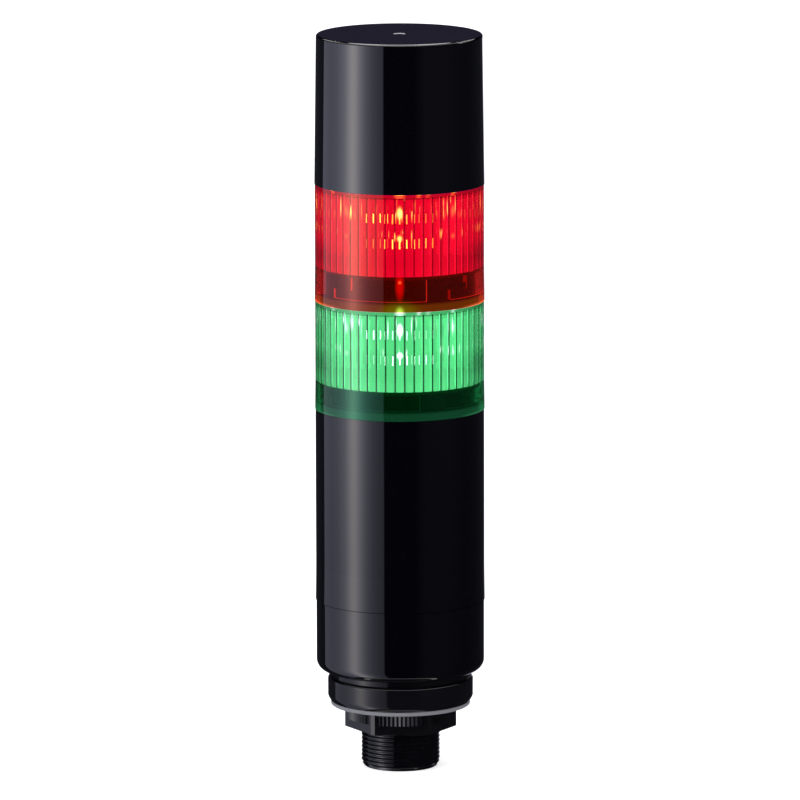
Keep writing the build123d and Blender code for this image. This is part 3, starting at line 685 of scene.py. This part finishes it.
class STACKLIGHT_OT_stem(bpy.types.Operator):
    """The neck and the threaded stem, one moulding"""

    bl_idname = "stacklight.stem"
    bl_label = "Stem"

    def execute(self, context):
        sizes = context.scene.stack_light_sizes
        low, high = millimetres("mounting_stem")
        gasket_top = millimetres("mounting_gasket")[1].z
        stem_radius = 14.0
        neck_radius = high.x
        bore = 10.5
        waist = neck_radius - 1.5
        neck_top = high.z - 2.2
        shoulder = 1.1
        pitch = sizes.thread_pitch / MM
        root = stem_radius - sizes.thread_depth / MM
        relief = root - 0.12
        thread_top = -0.9
        thread_end = low.z + sizes.plain_end / MM

        stem = bmesh.new()
        outline = [(relief, thread_end), (root, thread_end - 0.1), (root, low.z + 0.25), (root - 0.25, low.z),
                   (bore + 0.3, low.z), (bore, low.z + 0.3), (bore, high.z), (waist, high.z), (waist, neck_top),
                   (neck_radius - shoulder, neck_top)]
        outline += [(neck_radius - shoulder + shoulder * sin(turn), neck_top - shoulder + shoulder * cos(turn))
                    for turn in (radians(step) for step in range(10, 91, 10))]
        outline += [(neck_radius, neck_top - shoulder - 0.1), (neck_radius, gasket_top + 2.1),
                    (neck_radius, gasket_top + 2.0), (neck_radius - 0.25, gasket_top + 1.2),
                    (neck_radius - 1.0, gasket_top), (stem_radius, gasket_top), (stem_radius, 0.0),
                    (relief, thread_top)]
        spin_outline(stem, outline, closed=False)

        # one turn's outline runs up the axis as it goes round
        thread = bmesh.new()
        shares = ((root, 0.0), (root, 0.14), (stem_radius, 0.5), (stem_radius, 0.64), (root, 1.0))
        start = thread_end - pitch
        points = [thread.verts.new((radius, 0, start + share * pitch)) for radius, share in shares]
        edges = [thread.edges.new(pair) for pair in zip(points, points[1:])]
        turns = int((thread_top - thread_end) / pitch) + 3
        steps = 96
        bmesh.ops.spin(thread, geom=points + edges, cent=(0, 0, 0), axis=(0, 0, 1), dvec=(0, 0, pitch / steps),
                       angle=2 * pi * turns, steps=steps * turns, use_duplicate=False)
        bmesh.ops.remove_doubles(thread, verts=thread.verts, dist=0.002)
        for height, side in ((thread_end, -1.0), (thread_top, 1.0)):
            bmesh.ops.bisect_plane(thread, geom=thread.verts[:] + thread.edges[:] + thread.faces[:], dist=1e-5,
                                   plane_co=(0, 0, height), plane_no=(0, 0, side), clear_outer=True)
        # the crests run down into the chamfer
        for vert in thread.verts:
            limit = root + 0.15 + max(vert.co.z - low.z, 0) * 0.37
            radius = hypot(vert.co.x, vert.co.y)
            if radius > limit:
                vert.co.xy *= limit / radius
        holder = bpy.data.meshes.new("thread")
        thread.to_mesh(holder)
        thread.free()
        stem.from_mesh(holder)
        bpy.data.meshes.remove(holder)
        for height in (thread_end, thread_top):
            rings = [edge for edge in stem.edges
                     if edge.is_boundary and all(abs(vert.co.z - height) < 1e-3 for vert in edge.verts)]
            bmesh.ops.bridge_loops(stem, edges=rings)
        piece = finish_mesh(stem, "threaded_stem", crease=25.0)
        # thread first, then neck
        for face in piece.data.polygons:
            face.material_index = int(face.center.z > gasket_top * MM)
        dress(piece, "base", "satin_black_plastic", glass_filled_nylon("Black glass-filled nylon, thread", 0.08),
              glass_filled_nylon("Black glass-filled nylon, neck", 0.1, 1.37))
        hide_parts("mounting_stem")
        return {"FINISHED"}


class STACKLIGHT_OT_nut(bpy.types.Operator):
    """The lock nut: a hexagon with flat corners that runs into a ribbed collar"""

    bl_idname = "stacklight.nut"
    bl_label = "Lock nut"

    def execute(self, context):
        sizes = context.scene.stack_light_sizes
        low, high = millimetres("lock_nut")
        across_flats = 35.2
        corner = across_flats / sqrt(3)
        ring_radius = 19.4
        ring_height = 4.75
        rib_depth = 0.45
        bore = 14.08

        hexagon = bmesh.new()
        bmesh.ops.create_cone(hexagon, cap_ends=True, segments=6, radius1=corner, radius2=corner,
                              depth=high.z - low.z)
        turn = 0.0 if any(abs(vert.co.y) < 1e-6 for vert in hexagon.verts) else radians(30)
        bmesh.ops.rotate(hexagon, cent=(0, 0, 0), matrix=Matrix.Rotation(turn, 3, "Z"), verts=hexagon.verts)
        bmesh.ops.translate(hexagon, vec=(0, 0, (low.z + high.z) / 2), verts=hexagon.verts)
        upright = [edge for edge in hexagon.edges if abs(edge.verts[0].co.z - edge.verts[1].co.z) > 1]
        facet = sizes.nut_facet / MM
        bmesh.ops.bevel(hexagon, geom=upright, offset=facet / sqrt(3), affect="EDGES", segments=1, profile=0.5,
                        material=-1)
        rims = [edge for edge in hexagon.edges if max(vert.co.z for vert in edge.verts) < low.z + 0.01]
        bmesh.ops.bevel(hexagon, geom=rims, offset=0.35, affect="EDGES", segments=2, profile=0.5, material=-1)

        collar = bmesh.new()
        count = sizes.nut_ribs
        bmesh.ops.create_circle(collar, cap_ends=True, segments=count * 2, radius=ring_radius)
        valleys = [vert for vert in collar.verts if vert.index % 2]
        bmesh.ops.scale(collar, vec=(1 - rib_depth / ring_radius, 1 - rib_depth / ring_radius, 1), verts=valleys)
        raised = bmesh.ops.extrude_face_region(collar, geom=collar.faces[:])
        moved = [item for item in raised["geom"] if isinstance(item, bmesh.types.BMVert)]
        bmesh.ops.translate(collar, vec=(0, 0, -ring_height), verts=moved)

        hole = bmesh.new()
        bmesh.ops.create_cone(hole, cap_ends=True, segments=128, radius1=bore, radius2=bore, depth=40.0)

        piece = finish_mesh(hexagon, "ribbed_lock_nut", crease=20.0)
        for tool, operation in ((collar, "UNION"), (hole, "DIFFERENCE")):
            helper = finish_mesh(tool, "nut_tool", crease=20.0)
            cut = piece.modifiers.new("cut", "BOOLEAN")
            cut.object = helper
            cut.operation = operation
            cut.solver = "EXACT"
            shaped = bpy.data.meshes.new_from_object(piece.evaluated_get(context.evaluated_depsgraph_get()))
            piece.modifiers.clear()
            piece.data = shaped
            bpy.data.objects.remove(helper)
        shaped = bmesh.new()
        shaped.from_mesh(piece.data)
        bpy.data.objects.remove(piece)
        piece = finish_mesh(shaped, "ribbed_lock_nut", crease=20.0, scale=1.0)
        dress(piece, "nut", "satin_black_plastic", glass_filled_nylon("Black glass-filled nylon, nut", 0.2, 1.45))
        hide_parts("lock_nut")
        return {"FINISHED"}


class STACKLIGHT_OT_gasket(bpy.types.Operator):
    """The flat rubber ring between neck and panel"""

    bl_idname = "stacklight.gasket"
    bl_label = "Gasket"

    def execute(self, context):
        low, high = millimetres("mounting_gasket")
        outer, inner, soft = high.x, 14.3, 0.25
        ring = bmesh.new()
        outline = [(inner, low.z), (outer - soft, low.z), (outer, low.z + soft), (outer, high.z - soft),
                   (outer - soft, high.z), (inner, high.z)]
        spin_outline(ring, outline)
        piece = finish_mesh(ring, "rubber_gasket", crease=50.0)
        dress(piece, "base", "gasket_rubber", gasket_rubber(context.scene.stack_light_colours))
        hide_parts("mounting_gasket")
        return {"FINISHED"}


class STACKLIGHT_OT_insides(bpy.types.Operator):
    """Finishes of the pieces inside, most of them seen only through the clear collars"""

    bl_idname = "stacklight.insides"
    bl_label = "Insides"

    def execute(self, context):
        finishes = {
            satin_black_abs(): ("plug_plate", "sounder_chassis"),
            plain_finish("Black nitrile seal rubber", linear("#1d2a26"), 0.6): (
                "base_seal", "body_seal", "green_seal", "red_seal"),
            plain_finish("Green solder-masked glass-epoxy board", linear("#0f5b35"), 0.35): (
                "power_board", "sounder_board", "base_contact_disc", "body_contact_disc",
                "green_contact_disc", "red_contact_disc"),
            plain_finish("Bare contact brass", linear("#c9a24c"), 0.3, metallic=1.0): (
                "body_contact_pins", "green_contact_pins", "red_contact_pins", "cap_contact_pins"),
            plain_finish("Zinc plated steel", linear("#b9bcc0"), 0.3, metallic=1.0): (
                "base_screws", "terminal_screws"),
            plain_finish("Black epoxy component case", linear("#17171a"), 0.45): (
                "power_board_parts", "sounder"),
            plain_finish("Grey polyamide terminal block", linear("#8f9296"), 0.5): ("terminal_block",),
        }
        for colour, light, level in (("red", (0.9, 0.02, 0.05), 0.3), ("green", (0.3, 0.9, 0.45), 0.3)):
            top = millimetres(colour + "_lens")[1].z
            reflector = lit_reflector(colour.capitalize() + " lit black polycarbonate", light, level, top)
            finishes[reflector] = tuple(colour + "_" + part for part in ("carrier", "coupler", "led_sleeve"))
        for material, nodes in finishes.items():
            for node in nodes:
                paint(node, material)
        return {"FINISHED"}


class STACKLIGHT_OT_light_sources(bpy.types.Operator):
    """The LEDs: packages with a lit window sunk between side walls, so each shines mostly straight out"""

    bl_idname = "stacklight.light_sources"
    bl_label = "Light sources"

    def execute(self, context):
        columns = context.scene.stack_light_sizes.led_columns
        width, depth, height = 3.2, 1.4, 3.6
        window_width, window_stretch, window_rise, sink = 0.8, 2.2, 0.45, 1.3
        case = plain_finish("Dark LED package", linear("#3a3a3a"), 0.4)
        # the lens takes most of the green out of the red LEDs' light, and so on
        lights = {"red": ((0.5, 1.0, 0.08, 1.0), 45.0), "green": ((1.0, 0.48, 0.6, 1.0), 30.0)}
        for colour, (light, level) in lights.items():
            low, high = millimetres(colour + "_leds")
            leds = bmesh.new()
            bmesh.ops.create_cube(leds, size=1.0, matrix=Matrix.Diagonal((width, depth, height, 1.0)))
            window = [face for face in leds.faces if face.normal.y < -0.9]
            bmesh.ops.inset_individual(leds, faces=window, thickness=(width - window_width) / 2)
            bmesh.ops.scale(leds, vec=(1, 1, window_stretch), verts=window[0].verts)
            bmesh.ops.translate(leds, vec=(0, sink, window_rise), verts=window[0].verts)
            window[0].material_index = 1
            package = leds.verts[:] + leds.edges[:] + leds.faces[:]
            first = leds.verts[:]
            for middle in (high.z - height / 2, low.z + height / 2):
                for index in range(columns):
                    copy = bmesh.ops.duplicate(leds, geom=package)["geom"]
                    verts = [item for item in copy if isinstance(item, bmesh.types.BMVert)]
                    for item in copy:
                        if isinstance(item, bmesh.types.BMFace) and item.material_index:
                            item.material_index = 1 + (index + (middle > low.z + height)) % 3
                    bmesh.ops.translate(leds, vec=(0, depth / 2 + low.y, middle), verts=verts)
                    bmesh.ops.rotate(leds, cent=(0, 0, 0), matrix=Matrix.Rotation(2 * pi * index / columns, 3, "Z"),
                                     verts=verts)
            bmesh.ops.delete(leds, geom=first, context="VERTS")
            piece = finish_mesh(leds, colour + "_light_sources", crease=10.0)
            windows = [plain_finish("%s LED window, %d%%" % (colour.capitalize(), share * 100), light, 0.2,
                                    glow=level * share) for share in (1.0, 0.4, 0.12)]
            dress(piece, colour + "_tier", colour + "_leds", case, *windows)
            piece.visible_diffuse = False
            piece.visible_glossy = False
            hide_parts(colour + "_leds")
        return {"FINISHED"}


class STACKLIGHT_PT_panel(bpy.types.Panel):
    """Sizes, colours and the steps that build the picture"""

    bl_label = "Stack Light"
    bl_idname = "STACKLIGHT_PT_panel"
    bl_space_type = "VIEW_3D"
    bl_region_type = "UI"
    bl_category = "Stack Light"

    def draw(self, context):
        for group in (context.scene.stack_light_sizes, context.scene.stack_light_colours):
            for field in group.__annotations__:
                self.layout.prop(group, field)
        for step in STEPS:
            self.layout.operator(step.bl_idname)


STEPS = (STACKLIGHT_OT_studio, STACKLIGHT_OT_insides, STACKLIGHT_OT_light_sources, STACKLIGHT_OT_shells,
         STACKLIGHT_OT_lenses, STACKLIGHT_OT_stem, STACKLIGHT_OT_nut, STACKLIGHT_OT_gasket)
CLASSES = (StackLightSizes, StackLightColours, *STEPS, STACKLIGHT_PT_panel)


def register():
    for kind in CLASSES:
        bpy.utils.register_class(kind)
    bpy.types.Scene.stack_light_sizes = bpy.props.PointerProperty(type=StackLightSizes)
    bpy.types.Scene.stack_light_colours = bpy.props.PointerProperty(type=StackLightColours)


def unregister():
    del bpy.types.Scene.stack_light_sizes
    del bpy.types.Scene.stack_light_colours
    for kind in reversed(CLASSES):
        bpy.utils.unregister_class(kind)


def main():
    """Builds every piece in order."""
    register()
    bpy.ops.stacklight.studio()
    bpy.ops.stacklight.insides()
    bpy.ops.stacklight.light_sources()
    bpy.ops.stacklight.shells()
    bpy.ops.stacklight.lenses()
    bpy.ops.stacklight.stem()
    bpy.ops.stacklight.nut()
    bpy.ops.stacklight.gasket()


if __name__ == "__main__":
    main()
